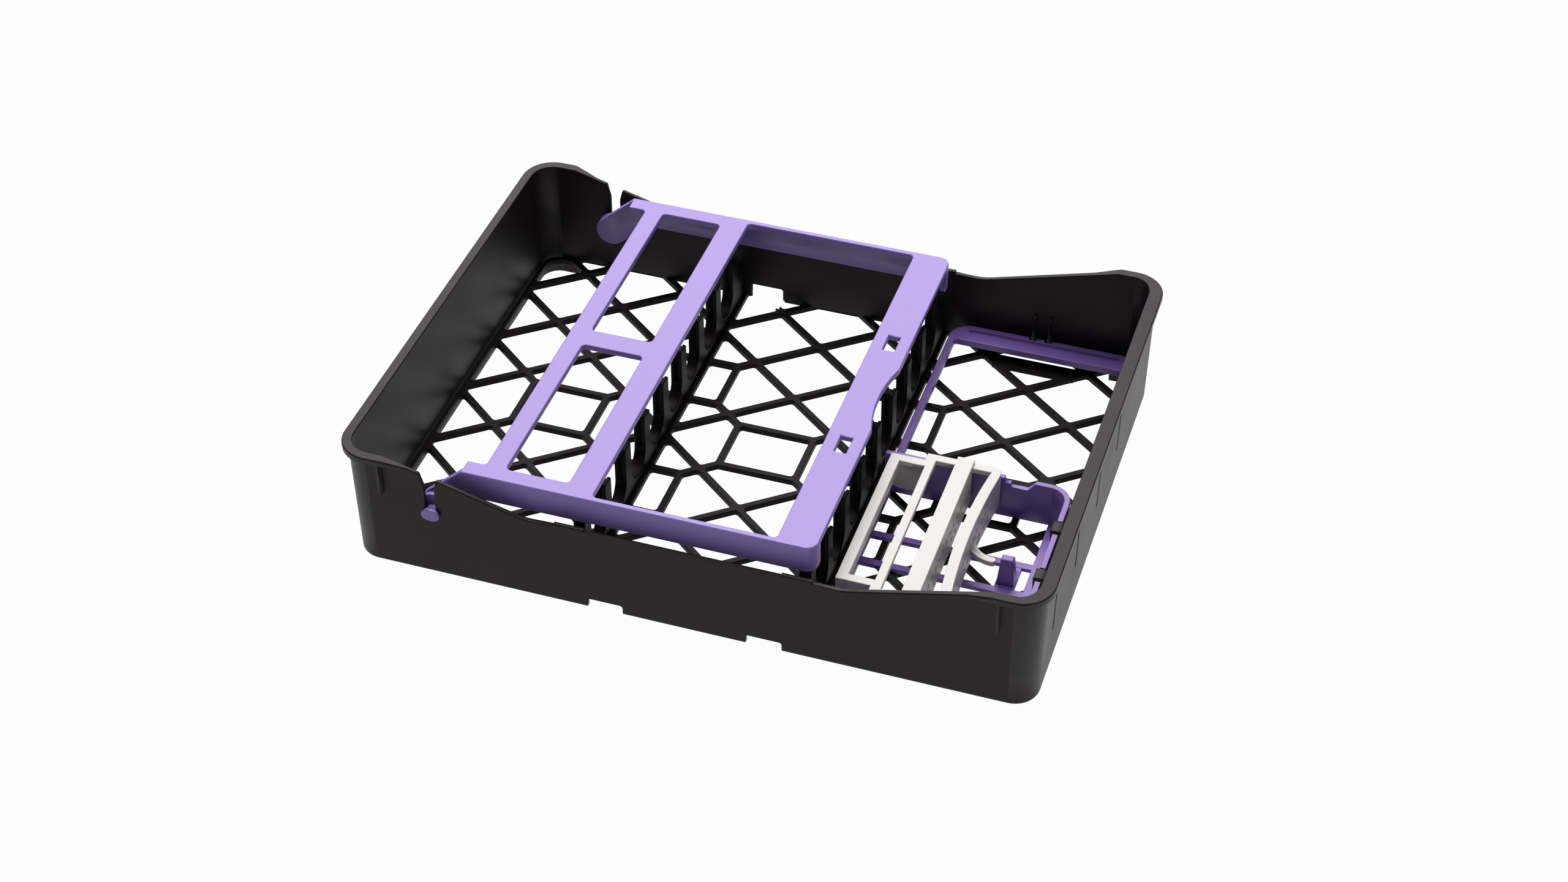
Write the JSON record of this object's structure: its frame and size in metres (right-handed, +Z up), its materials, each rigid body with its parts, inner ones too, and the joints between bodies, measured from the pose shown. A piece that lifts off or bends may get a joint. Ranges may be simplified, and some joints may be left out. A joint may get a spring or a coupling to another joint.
{
  "type": "endodontic file tray",
  "caption": "Rectangular perforated instrument tray with slotted racks, a hinged clamp frame and a lift-out box that carries a tilting endodontic file holder.",
  "frame": {"origin": "centre of the footprint, on the surface that the tray stands on", "axes": "+X to the right along the long side, +Y to the back, +Z up"},
  "size_m": [0.184, 0.1354, 0.036],
  "materials": {
    "black_plastic": "fine matte moulded texture",
    "purple_plastic": "smooth satin",
    "deep_purple_plastic": "smooth satin",
    "grey_plastic": "smooth satin"
  },
  "bodies": {
    "tray": {"tray_shell": "black_plastic", "floor_grille": "black_plastic", "rack_left": "black_plastic", "rack_right": "black_plastic"},
    "clamp": {"clamp_frame": "purple_plastic"},
    "insert": {"rear_frame": "deep_purple_plastic", "file_box": "deep_purple_plastic", "latch_post": "deep_purple_plastic"},
    "holder": {"file_holder": "grey_plastic", "file_bridge": "grey_plastic"}
  },
  "joints": [
    {"name": "clamp_hinge", "type": "hinge", "parent": "tray", "child": "clamp", "pos_m": [-0.0667, 0, 0.0207], "axis": [0, -1, 0], "range_deg": [0, 110]},
    {"name": "insert_lift", "type": "slide", "parent": "tray", "child": "insert", "axis": [0, 0, 1], "range_m": [0, 0.045]},
    {"name": "holder_hinge", "type": "hinge", "parent": "insert", "child": "holder", "pos_m": [0.041, -0.0316, 0.0155], "axis": [0, -1, 0], "range_deg": [0, 90]}
  ]
}
